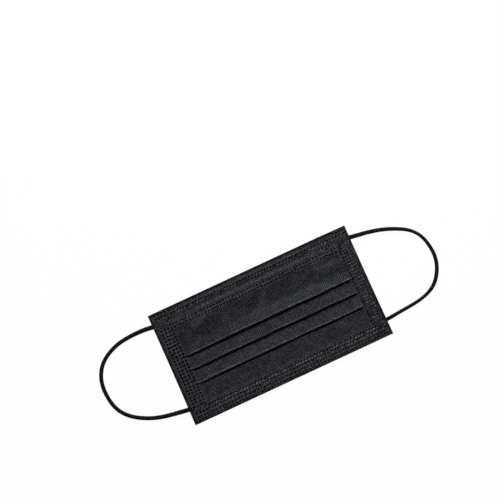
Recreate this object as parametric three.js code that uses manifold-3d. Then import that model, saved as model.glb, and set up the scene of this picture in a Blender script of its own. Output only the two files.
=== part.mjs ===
// A pleated ear-loop face mask, lying flat on a table with its front side up.
// X runs across the face, +Y points at the nose edge, +Z points out of the front side.
// The origin is on the table, under the middle of the folded cloth. All lengths are millimetres.
import * as THREE from "three";
import { mergeVertices } from "three/addons/utils/BufferGeometryUtils.js";
import Module from "manifold-3d";

// Driving dimensions.
const MASK_WIDTH = 175;
const MASK_HEIGHT = 95.5;
const CLOTH = 1; // the welded plies, as one wall
const AIR = 0.3; // between a folded layer and the next, and between one piece and the next
const LAYER = CLOTH + AIR; // from one folded layer to the next
const BAND_WIDTH = { left: 14.4, right: 12 };
const BAND_THICK = 1.2;
const TOP_HEM_DEPTH = 16.5;
const BOTTOM_HEM_DEPTH = 11.2;
const HEM_LAP = 3; // how far a hem's back flap reaches in under the pleated panel
const PILLOW = 13; // the length over which the cloth sinks towards a side band
const PRESSED = 0.36; // the share of its height that the cloth keeps at a side band

// The nose wire lies in the top hem, on its back flap.
const WIRE = { length: 101, width: 3.4, thick: 0.8, x: 1, y: 37.2 };
const RIDGE_SLOPE = 2.2; // the hem comes down from the wire over this width
const LEAF_ARCH = 0.2; // a hem's front leaf is this much higher in its middle

// One row for each knife pleat: where its fold edge lies, how far the edge strays at the left and
// right ends, how deep the pleat is, and how steeply the layer under it climbs.
const SPACING = 11.9;
const CLIMB = (2 * LAYER) / (SPACING - LAYER);
const PLEATS = [
  { edge: 6.1, left: -0.6, right: 0.1, depth: 10, climb: CLIMB },
  { edge: 6.1 - SPACING, left: -0.3, right: 0.1, depth: 10, climb: CLIMB },
  { edge: 6.1 - 2 * SPACING, left: -0.2, right: 0, depth: 10, climb: 0.1 },
];

// The ear loops: round elastic, welded on at the back of the side bands by a flattened end.
const LOOP_DIAMETER = 2.8;
const LOOP_SIDES = 8;
const LOOP_STEPS = 26;
const END = { length: 8.5, width: 4.4, thick: 0.9 };
const END_WALL = 1.2; // how far the raised pad over an end reaches past its pocket
const PAD_DRAFT = 1; // how far the pad's sides lean in

// The middle line of each loop from the nose edge's end to the chin edge's, as it lies on the table.
const LEFT_LOOP = [
  [-88.1, 38.4], [-92.8, 39], [-98, 39.3], [-104, 39.3], [-110, 38.9], [-115.9, 38.1],
  [-121.5, 36.6], [-127.3, 34.2], [-132.3, 31.2], [-136.6, 27.4], [-140, 22.7], [-142.4, 17.2],
  [-143.7, 11.2], [-143.9, 5], [-143.3, -1.3], [-141.9, -7], [-139.6, -12], [-136.4, -16.3],
  [-132.4, -20.1], [-127.7, -23.4], [-122.6, -26.2], [-117, -28.6], [-111, -30.5], [-105, -31.8],
  [-99.2, -32.8], [-93, -33.8], [-88.1, -34.6],
];
const RIGHT_LOOP = [
  [88.1, 37.1], [93.1, 36.3], [99.2, 35.4], [105, 34.3], [110.8, 32.9], [116.5, 31.1],
  [121.8, 29], [127, 26.5], [131.8, 23.7], [136, 20.2], [139.5, 15.8], [142, 10.4],
  [143.4, 4.4], [144, -1.6], [143.7, -6.7], [142.6, -11.7], [140.6, -16.5], [137.8, -21.1],
  [134.2, -25.2], [129.6, -28.5], [124, -30.9], [117.8, -32.5], [111.5, -33.4], [105.5, -34],
  [99.3, -34.5], [93, -35.1], [88.1, -35.6],
];

// Worked out from them.
const TOP = MASK_HEIGHT / 2;
const EDGE = MASK_WIDTH / 2;
const CLOTH_LEFT = -(EDGE - BAND_WIDTH.left - AIR); // where the cloth meets the side bands
const CLOTH_RIGHT = EDGE - BAND_WIDTH.right - AIR;
const HEM_RISE = CLOTH / 2 + LAYER; // the middle of a hem's front leaf above the table
const FOLD_OUT = (LAYER + CLOTH) / 2; // from a fold's centre to its outside
const WIRE_REACH = WIRE.length / 2 + Math.abs(WIRE.x) + 1; // the hem is lifted out to here
const FOLD_STEPS = 5; // facets round a fold

// Where the cloth's cross-sections stand, from the left band to the right one.
const WIRE_SECTIONS = [17, 34, WIRE_REACH, WIRE_REACH + RIDGE_SLOPE, WIRE_REACH + 2 * RIDGE_SLOPE];
const PILLOW_SECTIONS = [1, 0.65, 0.4, 0.22, 0.1, 0.03, 0].map((share) => PILLOW * share);
const STATIONS = [
  ...PILLOW_SECTIONS.map((inset) => CLOTH_LEFT + inset).reverse(),
  ...WIRE_SECTIONS.map((x) => -x).reverse(),
  0,
  ...WIRE_SECTIONS,
  ...PILLOW_SECTIONS.map((inset) => CLOTH_RIGHT - inset),
];

const wasm = await Module();
wasm.setup();

const black = (hex, roughness) =>
  new THREE.MeshStandardMaterial({ color: hex, roughness, metalness: 0 });
const panelCloth = black(0x2a2a2d, 0.8);
const hemCloth = black(0x2d2e31, 0.75);
const bandCloth = black(0x27272a, 0.65);
const elastic = black(0x151517, 0.7);
const wireCoat = black(0x18181a, 0.45);

const mask = new THREE.Group();

function addPiece(name, geometry, material) {
  const mesh = new THREE.Mesh(geometry, material);
  mesh.name = name;
  mask.add(mesh);
  return mesh;
}

// A half turn of cloth in the (y, z) section, from its upper layer round to its lower one.
// towards is -1 where the fold's edge points at the chin and +1 where it points at the nose.
function fold(y, z, towards) {
  return Array.from({ length: FOLD_STEPS + 1 }, (_, i) => {
    const angle = Math.PI / 2 - (towards * Math.PI * i) / FOLD_STEPS;
    return new THREE.Vector2(
      y + (LAYER / 2) * Math.cos(angle),
      z + (LAYER / 2) * Math.sin(angle),
    );
  });
}

// The closed outline of a wall of cloth that follows a line of points in the section.
function wallOutline(line) {
  const front = [];
  const back = [];
  line.forEach((point, i) => {
    const before = line[Math.max(i - 1, 0)];
    const after = line[Math.min(i + 1, line.length - 1)];
    const along = after.clone().sub(before).normalize();
    const side = new THREE.Vector2(-along.y, along.x).multiplyScalar(CLOTH / 2);
    front.push(point.clone().add(side));
    back.unshift(point.clone().sub(side));
  });
  return new THREE.Shape([...front, ...back]);
}

// A wall of cloth from one side band to the other. The section's (y, z) is shaped by bend(x, y, z).
function clothWall(line, bend) {
  const runs = STATIONS.length - 1;
  const geometry = new THREE.ExtrudeGeometry(wallOutline(line), {
    depth: runs,
    steps: runs,
    bevelEnabled: false,
  });
  const place = geometry.attributes.position;
  for (let i = 0; i < place.count; i++) {
    const x = STATIONS[Math.round(place.getZ(i))];
    const [y, z] = bend(x, place.getX(i), place.getY(i));
    place.setXYZ(i, x, y, z);
  }
  return geometry;
}

// The share of its height that the cloth keeps at x: all of it, then down like a pillow's end.
function puff(x) {
  const into = Math.max(0, CLOTH_LEFT + PILLOW - x, x - CLOTH_RIGHT + PILLOW) / PILLOW;
  return PRESSED + (1 - PRESSED) * Math.sqrt(Math.max(0, 1 - into * into));
}

// The section of the pleated panel, from the top hem to the bottom hem.
function pleatedLine() {
  const line = [
    new THREE.Vector2(TOP - TOP_HEM_DEPTH - AIR, HEM_RISE),
    new THREE.Vector2(TOP - TOP_HEM_DEPTH - HEM_LAP - 2, HEM_RISE),
    new THREE.Vector2(21, HEM_RISE + 0.4),
  ];
  for (const { edge, depth, climb } of PLEATS) {
    const inner = edge + depth - FOLD_OUT; // centre of the hidden fold
    const outer = edge + FOLD_OUT; // centre of the fold that shows
    const lift = climb * (inner - outer);
    line.push(new THREE.Vector2(edge + depth, CLOTH / 2 + 2 * LAYER));
    line.push(new THREE.Vector2(inner, CLOTH / 2 + 2 * LAYER));
    line.push(...fold(outer, CLOTH / 2 + 1.5 * LAYER + lift, -1));
    line.push(...fold(inner, CLOTH / 2 + LAYER / 2, 1));
  }
  const last = PLEATS[PLEATS.length - 1];
  line.push(new THREE.Vector2(last.edge, CLOTH / 2 + last.climb * (last.depth - FOLD_OUT)));
  line.push(new THREE.Vector2(last.edge - 5, CLOTH));
  line.push(new THREE.Vector2(-TOP + BOTTOM_HEM_DEPTH + HEM_LAP + 2, HEM_RISE - 0.4));
  line.push(new THREE.Vector2(-TOP + BOTTOM_HEM_DEPTH + AIR, HEM_RISE));
  return line;
}

// How far a fold edge at height y strays at x. Between two pleats it goes over from one to the next.
function stray(x, y) {
  const rows = PLEATS.flatMap((pleat) => {
    const shift =
      x < 0 ? pleat.left * (x / CLOTH_LEFT) ** 2 : pleat.right * (x / CLOTH_RIGHT) ** 2;
    return [
      { at: pleat.edge + pleat.depth, shift },
      { at: pleat.edge, shift },
    ];
  });
  rows.unshift({ at: TOP - TOP_HEM_DEPTH - HEM_LAP, shift: 0 });
  rows.push({ at: -TOP + BOTTOM_HEM_DEPTH + HEM_LAP, shift: 0 });
  if (y >= rows[0].at || y <= rows[rows.length - 1].at) return 0;
  const next = rows.findIndex((row) => row.at < y);
  const share = (rows[next - 1].at - y) / (rows[next - 1].at - rows[next].at);
  return THREE.MathUtils.lerp(rows[next - 1].shift, rows[next].shift, share);
}

function pleatedPanel() {
  const bend = (x, y, z) => [y + stray(x, y), z * puff(x)];
  addPiece("pleated_panel", clothWall(pleatedLine(), bend), panelCloth);
}

// A hem: a front leaf, the fold at the mask's edge, and a back flap that reaches in under the panel.
// edge is +1 for the nose edge and -1 for the chin edge.
function hemLine(edge, depth, leafPoints) {
  const inner = TOP - depth;
  const arch = (i) => Math.sin((Math.PI * (i + 1)) / (leafPoints.length + 1));
  const line = [
    new THREE.Vector2(inner, HEM_RISE),
    ...leafPoints.map((y, i) => new THREE.Vector2(y, HEM_RISE + LEAF_ARCH * arch(i))),
    ...fold(TOP - FOLD_OUT, CLOTH / 2 + LAYER / 2, 1),
    new THREE.Vector2(inner - HEM_LAP, CLOTH / 2),
  ];
  return line.map((point) => new THREE.Vector2(edge * point.x, point.y));
}

// How far the wire lifts the front leaf at (x, y).
function ridge(x, y) {
  const past = (distance, half) => Math.max(0, distance - half) / RIDGE_SLOPE;
  const away = Math.hypot(
    past(Math.abs(x), WIRE_REACH) / 2,
    past(Math.abs(y - WIRE.y), WIRE.width / 2),
  );
  const share = Math.max(0, 1 - away);
  return (WIRE.thick + AIR) * share * share * (3 - 2 * share);
}

function topHem() {
  const reach = WIRE.width / 2 + RIDGE_SLOPE;
  const shares = [-1, -0.7, -0.45, 0, 0.45, 0.7, 1];
  const leaf = shares.map((share) => WIRE.y + share * reach);
  const bend = (x, y, z) => [y, (z > LAYER - AIR / 2 ? z + ridge(x, y) : z) * puff(x)];
  addPiece("top_hem", clothWall(hemLine(1, TOP_HEM_DEPTH, leaf), bend), hemCloth);
}

function bottomHem() {
  const bend = (x, y, z) => [y, z * puff(x)];
  addPiece("bottom_hem", clothWall(hemLine(-1, BOTTOM_HEM_DEPTH, []), bend), hemCloth);
}

function noseWire() {
  const half = WIRE.width / 2;
  const bar = new THREE.Shape()
    .moveTo(-half + WIRE.thick / 2, -WIRE.thick / 2)
    .lineTo(half - WIRE.thick / 2, -WIRE.thick / 2)
    .absarc(half - WIRE.thick / 2, 0, WIRE.thick / 2, -Math.PI / 2, Math.PI / 2)
    .lineTo(-half + WIRE.thick / 2, WIRE.thick / 2)
    .absarc(-half + WIRE.thick / 2, 0, WIRE.thick / 2, Math.PI / 2, (3 * Math.PI) / 2);
  const geometry = new THREE.ExtrudeGeometry(bar, {
    depth: WIRE.length,
    bevelEnabled: false,
    curveSegments: 4,
  });
  // The shape's x goes to y and its y to z, so the bar's length runs along x.
  geometry.translate(0, 0, -WIRE.length / 2);
  geometry.applyMatrix4(
    new THREE.Matrix4().makeBasis(
      new THREE.Vector3(0, 1, 0),
      new THREE.Vector3(0, 0, 1),
      new THREE.Vector3(1, 0, 0),
    ),
  );
  const wire = addPiece("nose_wire", geometry, wireCoat);
  wire.position.set(WIRE.x, WIRE.y, CLOTH + AIR + WIRE.thick / 2);
}

function toSolid(geometry) {
  const bare = geometry.clone().deleteAttribute("normal").deleteAttribute("uv");
  const merged = mergeVertices(bare, 1e-4);
  return new wasm.Manifold(
    new wasm.Mesh({
      numProp: 3,
      vertProperties: merged.attributes.position.array,
      triVerts: new Uint32Array(merged.index.array),
    }),
  );
}

function toGeometry(solid) {
  const made = solid.getMesh();
  return new THREE.BufferGeometry()
    .setAttribute("position", new THREE.BufferAttribute(made.vertProperties, 3))
    .setIndex(new THREE.BufferAttribute(made.triVerts, 1));
}

// A block standing on z = 0, from x = 0 inwards, whose top is smaller than its foot by draft at its
// inner end and along its sides.
function pad(length, width, height, draft) {
  const geometry = new THREE.BoxGeometry(length, width, height);
  geometry.translate(-length / 2, 0, height / 2);
  const place = geometry.attributes.position;
  for (let i = 0; i < place.count; i++) {
    if (place.getZ(i) < height / 2) continue;
    if (place.getX(i) < -length / 2) place.setX(i, place.getX(i) + draft);
    place.setY(i, place.getY(i) - draft * Math.sign(place.getY(i)));
  }
  return geometry;
}

// The right or left side band, with a raised pad over each flattened loop end and a pocket for the
// end under it. It is drawn for the right edge, and turned half round for the left one.
function sideBand(name, width, endHeights) {
  const turn = name === "left" ? Math.PI : 0;
  const slab = new THREE.BoxGeometry(width, MASK_HEIGHT, BAND_THICK);
  let band = toSolid(slab.translate(EDGE - width / 2, 0, BAND_THICK / 2));
  const pocket = { length: END.length + AIR, width: END.width + 2 * AIR, roof: END.thick + AIR };
  const overhang = 2; // the pocket's cutter stands past the outer edge and the underside
  for (const height of endHeights) {
    const y = turn ? -height : height;
    const bump = pad(
      pocket.length + END_WALL + PAD_DRAFT,
      pocket.width + 2 * (END_WALL + PAD_DRAFT),
      pocket.roof + CLOTH,
      PAD_DRAFT,
    ).translate(EDGE, y, 0);
    const cutter = new THREE.BoxGeometry(
      pocket.length + overhang,
      pocket.width,
      pocket.roof + overhang,
    ).translate(EDGE + (overhang - pocket.length) / 2, y, (pocket.roof - overhang) / 2);
    band = band.add(toSolid(bump)).subtract(toSolid(cutter));
  }
  addPiece(`side_band_${name}`, toGeometry(band).rotateZ(turn), bandCloth);
}

// The flattened, welded end of a loop, under the side band and flush with its outer edge.
function loopEnd(name, side, y) {
  const geometry = new THREE.BoxGeometry(END.length, END.width, END.thick);
  const end = addPiece(name, geometry, elastic);
  end.position.set(side * (EDGE + AIR / 2 - END.length / 2), y, END.thick / 2);
}

function earLoop(name, points) {
  const radius = LOOP_DIAMETER / 2;
  const route = new THREE.CatmullRomCurve3(
    points.map(([x, y]) => new THREE.Vector3(x, y, radius)),
  );
  const section = new THREE.Shape(
    Array.from({ length: LOOP_SIDES }, (_, i) => {
      const angle = (2 * Math.PI * i) / LOOP_SIDES;
      return new THREE.Vector2(radius * Math.cos(angle), radius * Math.sin(angle));
    }),
  );
  const tube = new THREE.ExtrudeGeometry(section, { steps: LOOP_STEPS, extrudePath: route });
  addPiece(name, tube, elastic);
}

pleatedPanel();
topHem();
bottomHem();
noseWire();
for (const { name, side, loop } of [
  { name: "left", side: -1, loop: LEFT_LOOP },
  { name: "right", side: 1, loop: RIGHT_LOOP },
]) {
  const ends = { top: loop[0][1], bottom: loop[loop.length - 1][1] };
  sideBand(name, BAND_WIDTH[name], Object.values(ends));
  for (const [place, y] of Object.entries(ends)) loopEnd(`loop_end_${name}_${place}`, side, y);
  earLoop(`ear_loop_${name}`, loop);
}

export default mask;
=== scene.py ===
"""A black pleated ear-loop face mask, lying flat on a pale table with its front side up.

The cloth is folded under along the nose edge, laid in three knife pleats and folded under again
along the chin edge. Each of its pieces, the nose hem, the panel and the chin hem, is drawn as a
line in the (y, z) section and carried along x from one side band to the other.
Lengths in the tables and functions are millimetres. Meshes are in metres.
"""

import math
import random
from types import SimpleNamespace

import bmesh
import bpy
import numpy as np
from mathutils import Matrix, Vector, noise


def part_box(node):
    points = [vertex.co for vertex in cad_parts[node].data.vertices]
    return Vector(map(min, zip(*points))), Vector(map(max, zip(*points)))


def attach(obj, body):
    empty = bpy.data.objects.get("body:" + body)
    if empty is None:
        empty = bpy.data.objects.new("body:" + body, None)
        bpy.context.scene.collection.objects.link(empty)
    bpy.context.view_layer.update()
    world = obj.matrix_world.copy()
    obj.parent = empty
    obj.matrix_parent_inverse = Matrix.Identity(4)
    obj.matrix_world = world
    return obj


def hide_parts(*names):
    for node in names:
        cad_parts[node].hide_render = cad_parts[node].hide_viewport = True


bl_info = {
    "name": "Pleated Face Mask",
    "version": (1, 0, 0),
    "blender": (4, 5, 0),
    "location": "3D View > Sidebar > Face Mask",
    "description": "Builds a pleated ear-loop face mask around its packed solids",
    "category": "Add Mesh",
}

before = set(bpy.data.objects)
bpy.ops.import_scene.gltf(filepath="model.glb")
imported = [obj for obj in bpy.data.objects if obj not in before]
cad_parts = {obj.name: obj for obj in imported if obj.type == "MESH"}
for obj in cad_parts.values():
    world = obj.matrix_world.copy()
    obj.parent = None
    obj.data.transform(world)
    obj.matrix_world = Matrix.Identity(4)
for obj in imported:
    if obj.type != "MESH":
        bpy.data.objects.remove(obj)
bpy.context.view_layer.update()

MM = 0.001
BODY = "root"


def node_box(node):
    """A solid's lowest and highest corners in millimetres."""
    low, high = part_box(node)
    return [value / MM for value in low], [value / MM for value in high]


def named(columns, *rows):
    """Rows of numbers, each of which is read by its column's name."""
    return [SimpleNamespace(**dict(zip(columns.split(), row))) for row in rows]


# Where the solids stand.
LEFT_BAND = node_box("side_band_left")
RIGHT_BAND = node_box("side_band_right")
WIRE_LOW, WIRE_HIGH = node_box("nose_wire")
WIRE_MIDDLE = (WIRE_LOW[0] + WIRE_HIGH[0]) / 2
PAST = 0.3  # how far the cloth's cut edges and fibres stand out past the solids
SHORT = 1.0  # how far short of its solid's inner edge the left band's cloth ends
LEFT_EDGE, LEFT_SEAM = LEFT_BAND[0][0] - PAST, LEFT_BAND[1][0] - SHORT
RIGHT_SEAM, RIGHT_EDGE = RIGHT_BAND[0][0], RIGHT_BAND[1][0]
TOP = RIGHT_BAND[1][1] + PAST
LOOP_ENDS = {
    f"loop_end_{side}_{end}": node_box(f"loop_end_{side}_{end}")
    for side in ("left", "right")
    for end in ("top", "bottom")
}

# The folded cloth's section.
LAYER = 1.3  # from the middle of one folded layer to the next
FOLD = LAYER / 2  # radius of a fold, to the middle of the cloth
FOLD_FACETS = 8
BOTTOM_LAYER = 0.5  # the middle of the lowest layer above the table
LEAF = BOTTOM_LAYER + LAYER  # the middle of a hem's front leaf above the table
LOWEST = 0.05  # the cloth's underside stays about this far above the table
NOSE_SEAM = 30.6  # where the nose hem's front leaf goes over into the panel
CHIN_SEAM = -36.4
# Each hem: which way its edge points, its seam, and how far in its back flap reaches.
NOSE_HEM = (1, NOSE_SEAM, 28.3)
CHIN_HEM = (-1, CHIN_SEAM, -33.6)

# One row for each knife pleat: its fold edge, how far the edge strays at its left and right ends,
# how deep the pleat is, how high its upper layer stands over the table at the fold, and how bright
# a highlight is painted along its fold's crown.
PLEATS = named(
    "edge left right depth height lip",
    (6.1, -1.1, -0.15, 10.0, 5.6, 1.25),
    (-5.9, -0.65, -0.2, 10.0, 5.2, 1.1),
    (-18.1, -0.6, -0.3, 10.0, 4.5, 1.75),
)
ABOVE_PLEATS = ((NOSE_SEAM, LEAF), (26.0, 2.0), (20.5, 2.1), (16.8, 2.6))
BELOW_PLEATS = ((-20.0, 2.3), (-26.5, 1.2), (-32.0, 1.4), (CHIN_SEAM, LEAF))

# How far the nose wire lifts the hem's front leaf at each height. Its crest leans to the chin side.
WIRE_RIDGE = (
    (NOSE_SEAM, 0.0), (33.2, 0.4), (35.4, 0.85), (36.4, 1.15), (WIRE_HIGH[1], 0.75), (39.8, 0.55),
    (41.2, 0.62), (43.2, 0.6), (45.4, 0.15), (47.0, 0.0),
)

# How much painted light (above 0) or painted shade (below 0) the cloth gets at each height on the
# mask. On the hems it is most over the nose wire, and on the panel it is least above the first
# pleat.
HEM_LIGHT = (
    (-45.0, 0.06), (-43.5, -0.04), (-41.0, -0.06), (-38.6, -0.04), (-37.0, 0.12), (30.6, 0.1),
    (33.0, 0.15), (35.0, 0.45), (36.2, 0.2), (37.3, 0.54), (38.4, 0.15), (40.0, -0.25),
    (41.3, -0.5), (43.4, -0.1), (44.5, 0.3), (45.6, 0.0), (46.4, -0.1),
)
PANEL_LIGHT = (
    (-36.4, 0.0), (-34.5, 0.2), (-31.5, -0.05), (-27.0, 0.0), (-23.0, 0.2), (-19.0, 0.0),
    (-18.5, 0.0), (-17.0, 0.12), (-7.0, 0.12), (-5.0, 0.06), (4.0, 0.06), (6.0, 0.0),
    (13.0, 0.0), (16.5, -0.22), (23.0, -0.24), (27.0, -0.2),
)
# Painted light on the right band's upper part, by height.
RIGHT_BAND_LIGHT = ((19.0, 0.0), (24.0, 0.36), (31.0, 0.36), (36.0, 0.12))
# Painted shade along the cut edges.
EDGE_SHADE = ((0.0, 0.95), (0.6, 0.6), (1.7, 0.35), (2.6, 0.0))  # by the distance from a cut edge

# Slow waves in the cloth: their height, their length along x and along y, and which draw they are.
WAVES = named("height along_x along_y draw", (0.36, 21.0, 13.0, 0.7), (0.22, 8.0, 5.0, 4.1))

# Soft creases in the cloth, each a long low ridge: its middle, its direction in degrees from +X,
# its half length, its half width and its height.
CREASES = named(
    "x y turn length width height",
    (-51.0, 26.8, 26.0, 14.0, 3.6, 1.45),
    (-31.0, 18.5, 20.0, 10.0, 5.0, 0.63),
    (1.0, 18.5, 48.0, 13.0, 3.2, 1.01),
    (62.0, 23.5, -4.0, 15.0, 3.8, 1.38),
    (30.0, 21.5, 15.0, 12.0, 3.5, 0.45),
    (-60.0, -26.0, 35.0, 10.0, 3.5, 0.63),
    (-42.0, -25.5, -25.0, 10.0, 3.0, 0.25),
    (-5.0, -28.0, 25.0, 10.0, 3.5, 0.5),
    (22.0, -27.0, -18.0, 13.0, 3.2, 0.42),
    (54.0, -27.0, -15.0, 11.0, 3.5, 0.72),
)

# Weld dots in rows along the hems. A row has its height on the mask, its first and last dot, the
# distance between dots, their size, how deep they are pressed and how bright a highlight is
# painted on their film. The row at 37.9 has its dots so close that they join in a crease.
WELD_ROWS = named(
    "y first last pitch size depth glint",
    (45.6, -83.0, -70.5, 3.0, 1.0, 0.5, 0.15),
    (45.4, 76.0, 84.5, 2.7, 1.0, 0.45, 0.3),
    (42.5, -83.0, 75.0, 2.76, 1.08, 0.55, 0.6),
    (42.3, 77.5, 84.0, 2.76, 1.0, 0.45, 0.4),
    (37.9, -75.4, -68.4, 0.7, 0.6, 0.9, 0.0),
    (39.6, -73.0, -73.0, 3.0, 1.0, 0.5, 0.1),
    (33.9, -74.0, 78.0, 2.76, 1.0, 0.5, 0.5),
    (31.25, -74.0, 78.0, 2.76, 1.0, 0.45, 0.4),
    (38.3, 61.0, 72.2, 2.8, 1.0, 0.6, 0.6),
    (38.3, 53.3, 53.3, 2.8, 1.0, 0.6, 0.4),
    (36.5, 64.4, 66.6, 2.2, 1.0, 0.5, 0.2),
    (-37.2, -73.3, 77.0, 2.72, 1.0, 0.5, 1.7),
    (-40.1, -83.0, 84.0, 2.78, 1.0, 0.5, 0.85),
    (-43.1, -83.0, 84.0, 2.78, 1.0, 0.45, 0.5),
    (-45.8, -83.0, 84.0, 2.78, 1.0, 0.4, 0.3),
)

# Weld dots in columns on the side bands, in groups of columns that are alike.
WELD_COLUMNS = named(
    "x first last pitch size depth glint",
    ((-75.9,), 41.3, 35.5, 0.95, 0.5, 0.16, 0.1),
    ((-82.8, -79.8, -76.8), 31.9, -18.3, 2.96, 1.05, 0.55, 0.15),
    ((-82.8, -79.8, -76.5), -20.8, -34.4, 2.72, 1.05, 0.5, 0.2),
    ((-73.9,), 29.0, -18.3, 2.96, 1.25, 0.65, 0.2),
    ((-73.7,), -20.8, -34.4, 2.72, 1.05, 0.6, 0.3),
    ((75.9, 78.7, 81.1, 83.7), 29.3, 21.7, 2.55, 0.9, 0.5, 0.4),
    ((78.5, 80.9, 83.4), 18.8, -31.5, 2.65, 0.85, 0.16, 1.15),
    ((75.8,), 18.8, -34.2, 2.65, 0.85, 0.4, 0.8),
)
DOT_HALF = (0.98, 1.0)  # half the width and height of a dot, with its slopes
SMALL_DOTS, SMALL_DOT = 30, 0.65  # how many lie over each loop end, and their size

BOND_PITCH = 1.51  # between the bond points of the nonwoven

LOOP_TUCK = 1.0  # how far the round loops reach in under the side bands
# The middle line of each ear loop from the nose edge's end to the chin edge's, with how wide the
# elastic lies at each point as a share of its diameter.
LOOP_ROUTES = {
    "left": (
        (-88.1, 38.4, 1.20), (-92.8, 39.0, 1.17), (-98.0, 39.3, 1.14), (-104.0, 39.3, 1.10),
        (-110.0, 38.9, 1.07), (-115.9, 38.1, 1.05), (-121.5, 36.6, 1.03), (-127.3, 34.2, 1.02),
        (-132.3, 31.2, 1.01), (-136.6, 27.4, 1.01), (-140.0, 22.7, 1.01), (-142.4, 17.2, 1.00),
        (-143.7, 11.2, 1.00), (-143.9, 5.0, 0.99), (-143.3, -1.3, 0.99), (-141.9, -7.0, 0.99),
        (-139.6, -12.0, 0.99), (-136.4, -16.3, 0.99), (-132.4, -20.1, 1.00), (-127.7, -23.4, 1.01),
        (-122.6, -26.2, 1.03), (-117.0, -28.6, 1.04), (-111.0, -30.5, 1.06), (-105.0, -31.8, 1.09),
        (-99.2, -32.8, 1.12), (-93.0, -33.8, 1.14), (-88.1, -34.6, 1.16),
    ),
    "right": (
        (88.1, 37.1, 1.15), (93.1, 36.3, 1.11), (99.2, 35.4, 1.07), (105.0, 34.3, 1.04),
        (110.8, 32.9, 1.03), (116.5, 31.1, 1.01), (121.8, 29.0, 1.00), (127.0, 26.5, 0.95),
        (131.8, 23.7, 0.91), (136.0, 20.2, 0.86), (139.5, 15.8, 0.84), (142.0, 10.4, 0.87),
        (143.4, 4.4, 0.90), (144.0, -1.6, 0.93), (143.7, -6.7, 0.94), (142.6, -11.7, 0.96),
        (140.6, -16.5, 0.98), (137.8, -21.1, 0.99), (134.2, -25.2, 0.95), (129.6, -28.5, 0.91),
        (124.0, -30.9, 0.86), (117.8, -32.5, 0.85), (111.5, -33.4, 0.86), (105.5, -34.0, 0.87),
        (99.3, -34.5, 0.90), (93.0, -35.1, 0.94), (88.1, -35.6, 0.97),
    ),
}


def smooth(low, high, value):
    """0 up to low, 1 from high on, and an S-curve between them."""
    share = np.clip((np.asarray(value, dtype=float) - low) / (high - low), 0.0, 1.0)
    return share * share * (3.0 - 2.0 * share)


def spline(points, step):
    """Points on a Catmull-Rom curve through the given ones, about step apart."""
    given = np.array(points, dtype=float)
    ends = [2 * given[0] - given[1], 2 * given[-1] - given[-2]]
    known = np.vstack([ends[0], given, ends[1]])
    made = []
    for before, start, end, after in zip(known, known[1:], known[2:], known[3:]):
        count = max(1, math.ceil(np.linalg.norm(end - start) / step))
        square = 2 * before - 5 * start + 4 * end - after
        cube = 3 * start - before - 3 * end + after
        for share in np.arange(count) / count:
            doubled = 2 * start + (end - before) * share + square * share**2 + cube * share**3
            made.append(0.5 * doubled)
    made.append(given[-1])
    return np.array(made)


def straight(start, end, step):
    """Points strictly between two others, at most step apart."""
    count = math.ceil(math.dist(start, end) / step)
    shares = np.arange(1, count) / count
    return [tuple(np.array(start) + share * (np.array(end) - start)) for share in shares]


def read_off(pairs, value):
    """What a table of (place, number) pairs gives at each value, on straight lines between them."""
    return np.interp(value, *zip(*pairs))


def rounded(inwards, radius, least=0.0):
    """How high a rounded rim stands at a distance in from its edge, as a share of its height."""
    share = np.clip(inwards / radius, 0.0, 1.0)
    return np.sqrt(np.clip(1.0 - (1.0 - share) ** 2, least, 1.0))


# -------- materials


class Number:
    """A number that a shader works out at each point. An expression on it adds its Math nodes."""

    def __init__(self, finish, socket):
        self.finish = finish
        self.socket = socket

    def math(self, operation, *others):
        sockets = dict(enumerate((self, *others)))
        return self.finish.node("ShaderNodeMath", {"operation": operation}, sockets)

    def __add__(self, other):
        return self.math("ADD", other)

    def __sub__(self, other):
        return self.math("SUBTRACT", other)

    def __mul__(self, other):
        return self.math("MULTIPLY", other)

    def __rsub__(self, other):
        return self.math("MULTIPLY", -1.0).math("ADD", other)

    __radd__ = __add__
    __rmul__ = __mul__

    def band(self, low, high):
        """0 up to low, 1 from high on, smooth between them. low may be over high."""
        settings = {"interpolation_type": "SMOOTHSTEP"}
        if low < high:
            sockets = {"Value": self, "From Min": low, "From Max": high}
            return self.finish.node("ShaderNodeMapRange", settings, sockets)
        return 1.0 - self.band(high, low)


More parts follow.
